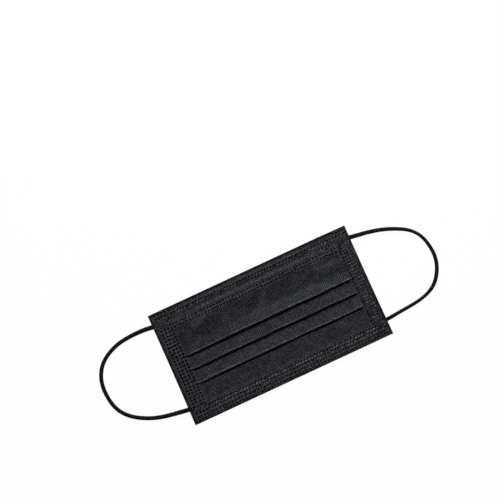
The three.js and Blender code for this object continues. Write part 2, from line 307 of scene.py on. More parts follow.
class Finish:
    """A material and the one method that adds nodes to it."""

    def __init__(self, name):
        self.material = bpy.data.materials.new(name)
        self.material.use_nodes = True
        self.tree = self.material.node_tree
        self.tree.nodes.clear()

    def node(self, kind, settings=None, sockets=None, output=0):
        """Adds a node, sets it, then fills its sockets with values or links."""
        made = self.tree.nodes.new(kind)
        for name, value in (settings or {}).items():
            setattr(made, name, value)
        for name, value in (sockets or {}).items():
            if isinstance(value, Number):
                self.tree.links.new(value.socket, made.inputs[name])
            else:
                made.inputs[name].default_value = value
        return Number(self, made.outputs[output]) if len(made.outputs) else made

    def noise(self, place, scale, detail=2.0, roughness=0.5):
        sockets = {"Vector": place, "Scale": scale, "Detail": detail, "Roughness": roughness}
        return self.node("ShaderNodeTexNoise", None, sockets)

    def turned(self, place, degrees, scale):
        """The place turned about z, then scaled along x and y."""
        turn = (0.0, 0.0, math.radians(degrees))
        sockets = {"Vector": place, "Rotation": turn, "Scale": (*scale, 1.0)}
        return self.node("ShaderNodeMapping", {"vector_type": "TEXTURE"}, sockets)

    def axis(self, place, name):
        return self.node("ShaderNodeSeparateXYZ", None, {0: place}, output=name)

    def mix(self, share, first, second):
        """A colour that goes from first to second as share goes from 0 to 1."""
        factor, colour_a, colour_b, result = 0, 6, 7, 2
        sockets = {factor: share, colour_a: first, colour_b: second}
        return self.node("ShaderNodeMix", {"data_type": "RGBA"}, sockets, output=result)

    def close(self, sockets, height=None, depth=1.0):
        """Adds the surface, with a bump of depth metres if a height is given."""
        if height is not None:
            bump = {"Height": height, "Strength": 1.0, "Distance": depth}
            sockets = {**sockets, "Normal": self.node("ShaderNodeBump", None, bump)}
        surface = self.node("ShaderNodeBsdfPrincipled", None, sockets)
        self.node("ShaderNodeOutputMaterial", None, {"Surface": surface})
        return self.material


def colour(value, factor=1.0):
    """An RGBA colour from a colour property, made lighter or darker by a factor."""
    return (*(channel * factor for channel in value), 1.0)


def nonwoven(name, base, film):
    """Spunbond cloth: stray fibres over a square grid of bond points, and smooth film where the
    weld attribute says that it has been pressed. One attribute paints light and shade into the
    cloth's tone, and another paints highlights onto the film. The cloth map is in millimetres."""
    finish = Finish(name)
    place = finish.node("ShaderNodeUVMap", {"uv_map": "cloth"})
    weld, glint, fuzz_and_painted_light = (
        finish.node("ShaderNodeAttribute", {"attribute_name": key}, output="Fac")
        for key in ("weld", "glint", "fuzz_and_painted_light")
    )

    fibres = None
    for degrees in (12.0, 74.0, 131.0):
        along = finish.turned(place, degrees, (2.4, 0.22))
        strand = 1.0 - (finish.noise(along, 1.0, 2.0, 0.6) - 0.5).math("ABSOLUTE") * 5.0
        strand = strand.math("MAXIMUM", 0.0)
        fibres = strand if fibres is None else fibres.math("MAXIMUM", strand)

    grid = finish.turned(place, 2.0, (BOND_PITCH, BOND_PITCH))
    cells = {"Vector": grid, "Scale": 1.0, "Randomness": 0.28}
    tuft = finish.node("ShaderNodeTexVoronoi", None, cells, output="Distance").band(0.5, 0.15)
    lot = finish.axis(finish.node("ShaderNodeTexVoronoi", None, cells, output="Color"), "X")

    loose = 1.0 - weld
    grain = finish.noise(place, 0.9, 1.0, 0.5).band(0.36, 0.64)
    patch = finish.noise(place, 0.16, 3.0, 0.6).band(0.3, 0.7)
    bright = tuft * (1.8 + lot * 0.9)
    tone = (0.27 + fibres * 0.12 + grain * 0.2 + bright) * (0.8 + patch * 0.4)
    # Painted light and shade: the tone is lifted where the cloth is to look lit and lowered where
    # it is to look shaded.
    tone = tone * (1.0 + fuzz_and_painted_light) + fuzz_and_painted_light * 0.35
    cloth = finish.mix(tone * 0.125, colour(base, 0.0), colour(base, 8.0))
    welded = finish.mix(weld * 0.97, cloth, colour(film))
    height = (fibres * 0.2 + grain * 0.4 + tuft * (0.3 + lot * 0.5)) * loose
    sockets = {
        # Painted highlight: where a weld's film is to glint, its base colour is eleven times the
        # cloth's.
        "Base Color": finish.mix(glint, welded, colour(base, 11.0)),
        "Roughness": 0.8 - glint * 0.3,
        "Specular IOR Level": 0.04,
        "Sheen Weight": 0.02,
        "Sheen Roughness": 0.5,
        "Sheen Tint": (0.75, 0.8, 1.0, 1.0),
    }
    return finish.close(sockets, height, 0.16 * MM)


def knitted_elastic(name, base):
    """Soft round elastic: ribs of small stitches, with a fine fuzz between them."""
    finish = Finish(name)
    place = finish.node("ShaderNodeUVMap", {"uv_map": "cloth"})
    # The knit's fine fuzz: random changes of tone, roughness and bump.
    fuzz_and_painted_light = finish.noise(finish.turned(place, 0.0, (0.12, 0.4)), 1.0, 3.0, 0.7)
    worn = finish.noise(place, 0.12, 2.0)
    rib = (finish.axis(place, "X") * 1.14).math("FRACT") - 0.5
    groove = rib.math("ABSOLUTE").band(0.3, 0.5)
    twist = finish.noise(finish.turned(place, 35.0, (2.8, 0.9)), 1.0, 1.0).band(0.35, 0.65)
    # Painted shade darkens the grooves between the ribs. The twist's lighter streaks are partly the
    # knit's pattern and partly painted light on its twisted strands.
    tone = (0.05 + fuzz_and_painted_light * 0.45 + twist * 1.25 - groove * 0.3) * (0.7 + worn * 0.6)
    sockets = {
        "Base Color": finish.mix(tone * 0.25, colour(base, 0.0), colour(base, 4.0)),
        "Roughness": 0.75 + fuzz_and_painted_light * 0.15,
        "Specular IOR Level": 0.08,
    }
    return finish.close(sockets, fuzz_and_painted_light - groove, 0.02 * MM)


def coated_wire(name, base):
    """Smooth plastic over a flat wire, with faint lines along it and a few scuffs."""
    finish = Finish(name)
    place = finish.node("ShaderNodeTexCoord", output="Object")
    lines = finish.noise(finish.turned(place, 0.0, (40 * MM, 0.3 * MM)), 1.0, 3.0, 0.6)
    scuffs = finish.noise(place, 400.0, 4.0, 0.7).band(0.55, 0.75)
    sockets = {
        "Base Color": finish.mix(scuffs * 0.4, colour(base), colour(base, 2.5)),
        "Roughness": 0.38 + lines * 0.15 + scuffs * 0.15,
    }
    return finish.close(sockets, lines, 0.02 * MM)


def pale_table(name, base, glow):
    """The table top. It gives off most of its own light, so that it stays evenly pale."""
    finish = Finish(name)
    sockets = {
        "Base Color": colour(base, 0.03),
        "Roughness": 1.0,
        "Specular IOR Level": 0.0,
        "Emission Color": colour(base),
        "Emission Strength": glow,
    }
    return finish.close(sockets)


# -------- what every piece needs


def select_only(*pieces):
    """Selects these objects alone, with the first one active."""
    if bpy.context.object and bpy.context.object.mode != "OBJECT":
        bpy.ops.object.mode_set(mode="OBJECT")
    bpy.ops.object.select_all(action="DESELECT")
    for piece in pieces:
        piece.select_set(True)
    if pieces:
        bpy.context.view_layer.objects.active = pieces[0]


def select_faces(piece, wanted):
    """Selects the faces of a piece in edit mode for which wanted is true."""
    bpy.ops.mesh.select_all(action="DESELECT")
    mesh = bmesh.from_edit_mesh(piece.data)
    for face in mesh.faces:
        face.select_set(bool(wanted(face)))
    bmesh.update_edit_mesh(piece.data)


def thicken(piece, thickness, offset):
    """Gives a sheet a thickness in millimetres: about it at offset 0, and under it at -1."""
    select_only(piece)
    wall = piece.modifiers.new("Wall", "SOLIDIFY")
    wall.thickness, wall.offset = thickness * MM, offset
    bpy.ops.object.modifier_apply(modifier=wall.name)


def edit_all(piece):
    """Opens a piece in edit mode, with all of it selected."""
    select_only(piece)
    bpy.ops.object.mode_set(mode="EDIT")
    bpy.ops.mesh.select_all(action="SELECT")


def face_outwards(piece):
    """Turns a closed piece's faces outwards."""
    edit_all(piece)
    bpy.ops.mesh.normals_make_consistent(inside=False)
    bpy.ops.object.mode_set(mode="OBJECT")


def shade(piece, material, degrees=40.0):
    """Gives a piece its material, and smooth shading but for its sharp edges."""
    piece.data.materials.clear()
    piece.data.materials.append(material)
    select_only(piece)
    bpy.ops.object.shade_smooth_by_angle(angle=math.radians(degrees))


def settle(piece, slot, *nodes):
    """Lets a piece ride on the mask and stand for its solids. slot is not used."""
    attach(piece, BODY)
    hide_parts(*nodes)


def read_places(mesh):
    """A mesh's vertices in millimetres, one row for each."""
    flat = np.empty(3 * len(mesh.vertices))
    mesh.vertices.foreach_get("co", flat)
    return flat.reshape(-1, 3) / MM


def grid_piece(name, places, cloth_uv, values=None):
    """A sheet of quads from an array of places, rows by columns, in millimetres. cloth_uv holds its
    place on the flat cloth, and values its named numbers at each vertex."""
    rows, columns = places.shape[:2]
    index = np.arange(rows * columns).reshape(rows, columns)
    corners = (index[:-1, :-1], index[:-1, 1:], index[1:, 1:], index[1:, :-1])
    faces = np.stack(corners, axis=-1).reshape(-1, 4)
    mesh = bpy.data.meshes.new(name)
    mesh.from_pydata((places * MM).reshape(-1, 3), [], faces.tolist())
    layer = mesh.uv_layers.new(name="cloth")
    layer.data.foreach_set("uv", cloth_uv.reshape(-1, 2)[faces.ravel()].ravel())
    for key, numbers in (values or {}).items():
        attribute = mesh.attributes.new(key, "FLOAT", "POINT")
        attribute.data.foreach_set("value", np.asarray(numbers, dtype=float).ravel())
    piece = bpy.data.objects.new(name, mesh)
    bpy.context.collection.objects.link(piece)
    return piece


# -------- the cloth's form


def undulation(x, y):
    """How far the cloth lies over or under its even section: slow waves and the named creases."""
    rise = np.zeros(x.shape)
    for wave in WAVES:
        spots = zip((x / wave.along_x).ravel(), (y / wave.along_y).ravel())
        heights = [noise.noise(Vector((u, v, wave.draw))) for u, v in spots]
        rise = rise + wave.height * np.reshape(heights, x.shape)
    for crease in CREASES:
        turn = math.radians(crease.turn)
        dx, dy = x - crease.x, y - crease.y
        along = (dx * math.cos(turn) + dy * math.sin(turn)) / crease.length
        across = (dy * math.cos(turn) - dx * math.sin(turn)) / crease.width
        rise = rise + crease.height * np.exp(-(along**2) - across**2)
    held = smooth(CHIN_SEAM - 3.0, CHIN_SEAM + 5.0, y) * smooth(NOSE_SEAM + 3.0, NOSE_SEAM - 4.0, y)
    pleated = smooth(10.0, 5.0, y) * smooth(-23.0, -17.0, y)
    return rise * (0.2 + 0.8 * held) * (1.0 - 0.6 * pleated)


def pressed(x, z):
    """The height of a point of the cloth once the side bands have pressed their ends of it flat."""
    most, softness = 1.5, 1.8  # how high it stands at a band, and how gently it is held down
    left_run, right_run, sinking = 7.0, 4.0, 34.0  # how far from a band it is pressed, and sinks
    near_left = np.clip(1.0 - (x - LEFT_SEAM) / left_run, 0.0, 1.0) ** 1.5
    near_right = np.clip(1.0 - (RIGHT_SEAM - x) / right_run, 0.0, 1.0) ** 4
    z = z * (1.0 - 0.18 * smooth(RIGHT_SEAM - sinking, RIGHT_SEAM, x))
    z = z * (1.0 - 0.22 * smooth(LEFT_SEAM + sinking, LEFT_SEAM + 4.0, x))
    return z + (most * (1.0 - np.exp(-z / softness)) - z) * (near_left + near_right)


def stray(x, y):
    """How far the cloth at height y strays along y at x, with the nearest pleats' fold edges."""
    still = np.zeros_like(x)
    heights, shifts = [CHIN_SEAM], [still]
    for pleat in reversed(PLEATS):
        left = pleat.left * (x / LEFT_SEAM) ** 2
        left = left * (0.2 + 0.8 * smooth(LEFT_SEAM + 0.5, LEFT_SEAM + 4.5, x))
        right = pleat.right * (x / RIGHT_SEAM) ** 2
        heights.append(pleat.edge + 2.0)
        shifts.append(np.where(x < 0, left, right))
    heights.append(NOSE_SEAM)
    shifts.append(still)
    made = np.array([np.interp(y, heights, column) for column in np.array(shifts).T])
    wave = 0.06 * np.sin(x / 9.0) + 0.03 * np.sin(x / 3.7 + 1.0)
    wave = wave[:, None] * smooth(NOSE_SEAM, NOSE_SEAM - 6.0, y)
    return made + wave * smooth(CHIN_SEAM, CHIN_SEAM + 6.0, y)


def lying(x, y):
    """A place on the mask as it lies: its ends lean a little and bow, and its corners stray."""
    lean, spread, bow = 0.0142, 0.0063, 0.000115  # of both ends, between them, and of each
    nose, chin = smooth(20.0, 47.0, y), smooth(-20.0, -47.0, y)
    down = 0.15 * chin * (1.0 + smooth(0.0, -85.0, x)) + 0.25 * smooth(62.0, 85.0, x) * nose
    share = x / RIGHT_EDGE
    return x + (lean - spread * share) * y + bow * share * y**2, y - down


def lay(piece, places):
    """Puts a closed piece's vertices at these places, as the mask lies, with its faces outwards."""
    places[:, 0], places[:, 1] = lying(places[:, 0], places[:, 1])
    piece.data.vertices.foreach_set("co", (places * MM).ravel())
    piece.data.update()
    face_outwards(piece)
    return piece


def half_turn(y, z, towards):
    """A fold from its upper layer round to its lower one. towards is +1 where its edge points at
    the nose and -1 where it points at the chin."""
    angles = np.linspace(0.0, math.pi, FOLD_FACETS + 1)
    return [(y + towards * FOLD * math.sin(a), z + FOLD * math.cos(a)) for a in angles]


def outside(edge, towards):
    """The centre of a fold whose outside reaches edge."""
    return edge - towards * (FOLD + cloth_thickness() / 2)


def panel_line(step):
    """The pleated panel's section from the nose hem to the chin hem."""
    line = [tuple(point) for point in spline(ABOVE_PLEATS, step)]
    for pleat in PLEATS:
        outer = outside(pleat.edge, -1)
        inner = outside(pleat.edge + pleat.depth, 1)
        for turn in (
            half_turn(outer, pleat.height - FOLD, -1),
            half_turn(inner, BOTTOM_LAYER + FOLD, 1),
        ):
            line += straight(line[-1], turn[0], step) + turn
    below = [tuple(point) for point in spline(BELOW_PLEATS, step)]
    return np.array(line + straight(line[-1], below[0], step) + below)


def hem_line(towards, seam, flap, step):
    """A hem's section from its seam with the panel round the mask's edge to its back flap's end."""
    centre = outside(towards * TOP, towards)
    turn = half_turn(centre, BOTTOM_LAYER + FOLD, towards)
    leaf = [(seam, LEAF), *straight((seam, LEAF), turn[0], step)]
    back = straight(turn[-1], (flap, BOTTOM_LAYER), 4 * step)
    return np.array(leaf + turn + back + [(flap, BOTTOM_LAYER)])


def past_wire(x, half_length):
    """How far x lies past the ends of this half length on either side of the nose wire's middle."""
    return np.maximum(0.0, np.abs(x - WIRE_MIDDLE) - half_length)


def wire_ridge(x, y):
    """How far the nose wire lifts the hem's front leaf."""
    past = past_wire(x, WIRE_HIGH[0] - WIRE_MIDDLE)
    return read_off(WIRE_RIDGE, y) * smooth(6.0, 0.0, past)


def weld_dots():
    """Every weld dot as (x, y, size, depth, painted glint), each a little out of its row. Over the
    loop ends the dots are small and lie anyhow."""
    chance = random.Random(41)
    dots = []

    def spread(line):
        """The places of its dots along a row or column."""
        count = round(abs(line.last - line.first) / line.pitch) + 1
        return np.linspace(line.first, line.last, count)

    def press(x, y, line):
        """One dot of a row or column."""
        x += chance.gauss(0.0, 0.12)
        y += chance.gauss(0.0, 0.1)
        depth = line.depth * chance.uniform(0.7, 1.15)
        glint = min(1.0, line.glint * chance.choice((0.0, 0.1, 0.3, 0.5, 0.7, 1.0)))
        dots.append((x, y, line.size, depth, glint))

    for row in WELD_ROWS:
        for x in spread(row):
            press(x, row.y, row)
    for group in WELD_COLUMNS:
        for x in group.x:
            for y in spread(group):
                press(x, y, group)
    for low, high in LOOP_ENDS.values():
        for _ in range(SMALL_DOTS):
            x = chance.uniform(low[0] - 1.0, high[0] + 1.0)
            y = chance.uniform(low[1] - 1.0, high[1] + 1.0)
            dots.append((x, y, SMALL_DOT, chance.uniform(0.15, 0.4), chance.uniform(-0.5, 0.8)))
    return dots


def weld_marks(x, y, dots):
    """The welds at each point: how deep the cloth is pressed, how far it is film, the highlight
    painted on the slope of the dent that looks at the nose edge and the light, and a ring of
    painted light round it, where the fibres are pushed up."""
    depth, film, glint, rim = (np.zeros(x.shape) for _ in range(4))
    clear = 2.1  # past this many half widths a weld leaves the cloth as it was
    for dot_x, dot_y, size, dot_depth, dot_painted_glint in dots:
        half_x, half_y = DOT_HALF[0] * size, DOT_HALF[1] * size
        near = (np.abs(x - dot_x) < clear * half_x) & (np.abs(y - dot_y) < clear * half_y)
        across, up = (x[near] - dot_x) / half_x, (y[near] - dot_y) / half_y
        reach = np.hypot(across, up)
        depth[near] = np.maximum(depth[near], dot_depth * smooth(1.0, 0.35, reach))
        film[near] = np.maximum(film[near], min(1.0, 2.6 * dot_depth) * smooth(1.08, 0.86, reach))
        # The painted glint sits low and right in the dent, on its slope that faces the light.
        spot = smooth(0.52, 0.32, np.hypot(across - 0.5, up + 0.7))
        glint[near] = np.maximum(glint[near], dot_painted_glint * spot)
        # A ring of painted light round the dent.
        pushed = min(1.0, 2.2 * dot_depth) * np.exp(-(((reach - 1.4) / 0.26) ** 2))
        rim[near] = np.maximum(rim[near], pushed)
    return depth, film, glint, rim


def stations(step):
    """Where the cloth's cross-sections stand along x, closer together near the side bands."""
    count = math.ceil((RIGHT_SEAM - LEFT_SEAM) / step)
    crowding = 0.4  # 0 would spread them evenly
    share = np.linspace(-1.0, 1.0, count + 1)
    share = (1.0 - crowding) * share + crowding * np.sin(share * math.pi / 2)
    return (RIGHT_SEAM + LEFT_SEAM) / 2 + (RIGHT_SEAM - LEFT_SEAM) / 2 * share


def run_lengths(line):
    """The length of cloth up to each point of a section."""
    return np.concatenate([[0.0], np.cumsum(np.linalg.norm(np.diff(line, axis=0), axis=1))])


def cloth_piece(name, line, along, front_rows, dots, fuzz_and_painted_light, ridge=None):
    """Cloth that follows a section from one side band to the other, with its thickness. The first
    front_rows points of the section are its front side, which the welds and the wire shape."""
    x, y = np.meshgrid(along, line[:, 0], indexing="ij")
    y = y + stray(along, line[:, 0])
    waves = undulation(x, y)
    front = np.arange(len(line)) < front_rows
    depth, film, glint, rim = weld_marks(x, y, dots)
    z = line[:, 1] + waves - depth * front
    if ridge is not None:
        z = z + ridge(x, y) * front
    length = np.broadcast_to(run_lengths(line), x.shape)
    # The weld film, the painted glints, and the painted light and shade with a lit ring round each
    # front weld dot go to the shader as attributes.
    values = {
        "weld": film * front,
        "glint": glint * front,
        "fuzz_and_painted_light": fuzz_and_painted_light(x, y, line, waves) + 0.5 * rim * front,
    }
    piece = grid_piece(name, np.stack([x, y, z], axis=-1), np.stack([x, length], axis=-1), values)
    thicken(piece, cloth_thickness(), 0.0)
    places = read_places(piece.data)
    places[:, 2] = pressed(places[:, 0], np.maximum(places[:, 2], LOWEST))
    return lay(piece, places)


def panel_painted_light(x, y, line, waves):
    """Painted light and shade on the panel: highlights along the fold edges, light on the crests of
    its creases and shade in their hollows, light over the first pleat, shade under two of the
    folds, and light and shade by height and near the side bands."""
    # Painted light on the crests of the creases and painted shade in their hollows.
    fuzz_and_painted_light = np.clip(0.36 * waves, -0.25, 0.5)
    # A painted highlight along each fold's crown, on its upper layer.
    for pleat in PLEATS:
        crown = np.exp(-(((line[:, 0] - pleat.edge - 1.0) / 0.55) ** 2))
        crown = crown * (line[:, 1] > pleat.height - FOLD)
        fuzz_and_painted_light = fuzz_and_painted_light + pleat.lip * crown

    # Painted light on the first pleat's front, most in its middle and less to its ends, and painted
    # shade under two of the folds, faint near the left band.
    middle = np.exp(-(((x - 24.0) / 60.0) ** 2))
    over = (0.4 * middle - 0.15) * smooth(16.4, 13.2, y) * smooth(4.0, 7.0, y)
    under = 0.3 * np.exp(-(((y - 3.6) / 0.8) ** 2)) + 0.2 * np.exp(-(((y + 8.9) / 0.7) ** 2))
    under = under * (0.1 + 0.9 * smooth(LEFT_SEAM, LEFT_SEAM + 28.0, x))

    # Painted light where the panel slopes up from the left band, and painted shade where it dips to
    # the right one.
    left = 0.22 * smooth(LEFT_SEAM + 5.5, LEFT_SEAM + 1.5, x)
    right = 0.4 * smooth(RIGHT_SEAM - 1.1, RIGHT_SEAM, x) * smooth(26.0, 18.0, y)
    return fuzz_and_painted_light + read_off(PANEL_LIGHT, y) + over - under + left - right


def hem_painted_light(x, y, line, waves):
    """Painted light and shade on the hems: light over the nose wire, light and shade by height,
    and shade along the cut edges.
    """
    wired = np.exp(-((past_wire(x, 48.0) / 4.0) ** 2))
    level = read_off(HEM_LIGHT, y) * (0.5 + 0.5 * wired)
    return 0.07 + level - read_off(EDGE_SHADE, TOP - np.abs(y))


def seam_heights(x, heights):
    """The height of the cloth's front side at a side band, for each y."""
    step, width = 0.6, 5  # of the sections, and half the width that the heights are smoothed over
    parts = (hem_line(*NOSE_HEM, step)[::-1], panel_line(step), hem_line(*CHIN_HEM, step))
    top = np.full(heights.shape, BOTTOM_LAYER)
    for line in parts:
        for (y0, z0), (y1, z1) in zip(line, line[1:]):
            low, high = min(y0, y1), max(y0, y1)
            inside = (heights >= low) & (heights <= high) & (high > low)
            level = z0 + (z1 - z0) * (heights - y0) / (y1 - y0 if y1 != y0 else 1.0)
            top = np.where(inside, np.maximum(top, level), top)
    top = pressed(x, top + cloth_thickness() / 2)
    padded = np.pad(top, width, mode="edge")
    return np.convolve(padded, np.ones(2 * width + 1) / (2 * width + 1), mode="valid")


def end_mask(x, y, reach):
    """1 over the flattened loop ends, grown by reach, and 0 away from them. The left ones count as
    running on to the band's outer edge."""
    covered = np.zeros(x.shape)
    for low, high in LOOP_ENDS.values():
        start = LEFT_EDGE if low[0] < 0 else low[0]
        past_x = np.maximum(0.0, np.maximum(start - x, x - high[0]))
        past_y = np.maximum(0.0, np.maximum(low[1] - y, y - high[1]))
        covered = np.maximum(covered, smooth(1.0, 0.0, np.hypot(past_x, past_y) / reach))
    return covered


def band_piece(name, outer, seam, dots, step, crease, fuzz_and_painted_light):
    """A side band: the cloth's flattened edge, welded in dots, over the flattened loop ends. crease
    is how deep a groove runs down its inner edge."""
    thick, thinnest, wall = 1.15, 0.35, 0.4
    rounding, run_down = 0.7, 3.5  # of its cut edges, and from the panel's height to its own
    x_line = np.linspace(seam, outer, math.ceil(abs(outer - seam) / step) + 1)
    y_line = np.linspace(-TOP, TOP, math.ceil(2 * TOP / step) + 1)
    x, y = np.meshgrid(x_line, y_line, indexing="ij")
    from_seam = np.abs(x - seam)
    from_edge = np.minimum(np.abs(x - outer), TOP - np.abs(y))

    seam_level = seam_heights(seam, y_line) + 0.05
    level = seam_level + (thick - seam_level) * smooth(0.0, run_down, from_seam)
    pad = end_mask(x, y, 3.0)
    level = level + 0.35 * pad * smooth(0.0, 2.0, from_seam)
    level = level + 0.2 * undulation(x, y) * smooth(0.0, 3.0, from_seam)
    depth, film, glint, rim = weld_marks(x, y, dots)
    groove = crease * np.exp(-(((from_seam - 0.55) / 0.35) ** 2))
    groove = groove * smooth(TOP - 5.0, TOP - 20.0, np.abs(y))
    depth = np.minimum(depth * smooth(0.0, 0.6, from_seam) + groove, level - thinnest)
    level = (level - depth) * (0.35 + 0.65 * rounded(from_edge, rounding))

    # Painted light and shade: light on the right band's upper part and in a ring round each weld
    # dot, shade along the cut edges, less so on the right band, and a little darker over the loop
    # ends.
    lit = read_off(RIGHT_BAND_LIGHT, y) if outer > seam else 0.0
    shaded = 0.6 if outer > seam else 1.0
    light = fuzz_and_painted_light + lit - 0.12 * pad + 0.5 * rim
    values = {
        "weld": np.maximum(film, 0.8 * groove),
        "glint": glint,
        "fuzz_and_painted_light": light - shaded * read_off(EDGE_SHADE, from_edge),
    }
    piece = grid_piece(name, np.stack([x, y, level], axis=-1), np.stack([x, y], axis=-1), values)
    thicken(piece, wall, -1.0)

    # The first half of the vertices is the front side. The second is put straight under it.
    places = read_places(piece.data)
    front, back = places[: x.size], places[x.size : 2 * x.size]
    under = LOWEST + 0.01 + 0.2 * depth.ravel() + 0.98 * end_mask(x, y, 0.5).ravel()
    back[:] = front
    back[:, 2] = np.minimum(under, front[:, 2] - 0.15)
    return lay(piece, places)


# -------- settings


def colour_property(name, description, default):
    """A colour of red, green and blue from 0 to 1."""
    return bpy.props.FloatVectorProperty(
        name=name, description=description, default=default, min=0.0, max=1.0, subtype="COLOR"
    )


def length_property(name, description, default, low, high):
    """A length whose default and limits are given in millimetres."""
    return bpy.props.FloatProperty(
        name=name, description=description, default=default * MM, min=low * MM, max=high * MM,
        subtype="DISTANCE", unit="LENGTH",
    )


class MaskClothSettings(bpy.types.PropertyGroup):
    thickness: bpy.props.FloatProperty(
        name="Cloth thickness", description="Thickness of the three plies together, in millimetres",
        default=0.8, min=0.3, max=1.0,
    )
    panel_step: length_property(
        "Panel mesh step", "Distance between the panel's vertices", 0.72, 0.4, 3.0
    )
    weld_step: length_property(
        "Weld mesh step", "Distance between vertices where the cloth is welded", 0.32, 0.2, 1.0
    )
    cloth_colour: colour_property(
        "Cloth colour", "Colour of the black nonwoven", (0.0262, 0.0271, 0.0313)
    )
    pressed_colour: colour_property(
        "Pressed cloth colour",
        "Colour of the nonwoven in the side bands and the chin hem",
        (0.0268, 0.0273, 0.0302),
    )
    film_colour: colour_property(
        "Weld colour", "Colour of the film in the weld dots", (0.0015, 0.0015, 0.0017)
    )


class MaskLoopSettings(bpy.types.PropertyGroup):
    diameter: length_property("Diameter", "Diameter of the round elastic", 3.3, 1.0, 5.0)
    ribs: bpy.props.IntProperty(
        name="Ribs", description="Knitted ribs round the elastic", default=10, min=4, max=24
    )
    stitch: length_property("Stitch", "Length of one stitch along the elastic", 0.9, 0.4, 3.0)
    elastic_colour: colour_property(
        "Elastic colour", "Colour of the knitted elastic", (0.0104, 0.0104, 0.0122)
    )
    wire_colour: colour_property(
        "Wire colour", "Colour of the nose wire's plastic coat", (0.012, 0.012, 0.014)
    )


class MaskStageSettings(bpy.types.PropertyGroup):
    turn: bpy.props.FloatProperty(
        name="Camera turn", description="How far the camera is turned about its line of sight",
        default=math.radians(-24.9), subtype="ANGLE", unit="ROTATION",
    )
    view_width: length_property(
        "View width", "Width of the view at the height of the cloth", 403.4, 100.0, 2000.0
    )
    aim: bpy.props.FloatVectorProperty(
        name="Aim", description="The point on the table under the camera",
        default=(10.6 * MM, 61.8 * MM), size=2, subtype="XYZ", unit="LENGTH",
    )
    key_power: bpy.props.FloatProperty(
        name="Key light", description="Power of the soft light past the nose edge",
        default=19.6, min=0.0, subtype="POWER", unit="POWER",
    )
    fill: bpy.props.FloatProperty(
        name="Fill", description="Brightness of the light from all round",
        default=0.08, min=0.0, max=2.0,
    )
    table_colour: colour_property("Table colour", "Colour of the table", (1.0, 1.0, 1.0))


def cloth_thickness():
    """The cloth's thickness in millimetres, as the section's other measures are."""
    return bpy.context.scene.mask_cloth.thickness


# -------- operators


class MASK_OT_stage(bpy.types.Operator):
    """Adds the table, the lights and the camera"""

    bl_idname = "mask.stage"
    bl_label = "Stage"

    def execute(self, context):
        settings = context.scene.mask_stage
        self.add_table(settings)
        self.add_camera(settings)
        self.add_lights(settings)
        context.scene.view_settings.view_transform = "Standard"
        return {"FINISHED"}

    @staticmethod
    def add_table(settings):
        """A wide plane just under the mask."""
        width, gap, glow = 16.0, 0.2 * MM, 0.973
        select_only()
        bpy.ops.mesh.primitive_plane_add(size=width, location=(0.0, 0.0, -gap))
        table = bpy.context.object
        table.name = "table_top"
        bpy.ops.object.transform_apply(location=True, rotation=True, scale=True)
        table.data.materials.append(pale_table("table_paint", settings.table_colour, glow))

    @staticmethod
    def add_camera(settings):
        """A camera that looks straight down."""
        lens, sensor, cloth_height = 100.0, 36.0, 3.0 * MM
        height = settings.view_width * lens / sensor + cloth_height
        bpy.ops.object.camera_add(location=(*settings.aim, height), rotation=(0, 0, settings.turn))
        camera = bpy.context.object
        camera.data.lens, camera.data.sensor_width = lens, sensor
        bpy.context.scene.camera = camera

    @staticmethod
    def add_lights(settings):
        """A soft light past the top of the view, and an even one from all round."""
        rise, distance, size = math.radians(40.5), 1.4, 0.26
        level = math.cos(rise)
        away = Vector(
            (-math.sin(settings.turn) * level, math.cos(settings.turn) * level, math.sin(rise))
        )
        bpy.ops.object.light_add(type="AREA", location=away * distance)
        key = bpy.context.object
        key.data.size = size
        key.data.energy = settings.key_power
        key.rotation_euler = away.to_track_quat("Z", "Y").to_euler()

        world = bpy.data.worlds.new("soft_room")
        bpy.context.scene.world = world
        world.use_nodes = True
        background = world.node_tree.nodes["Background"]
        background.inputs["Color"].default_value = (1.0, 1.0, 1.0, 1.0)
        background.inputs["Strength"].default_value = settings.fill


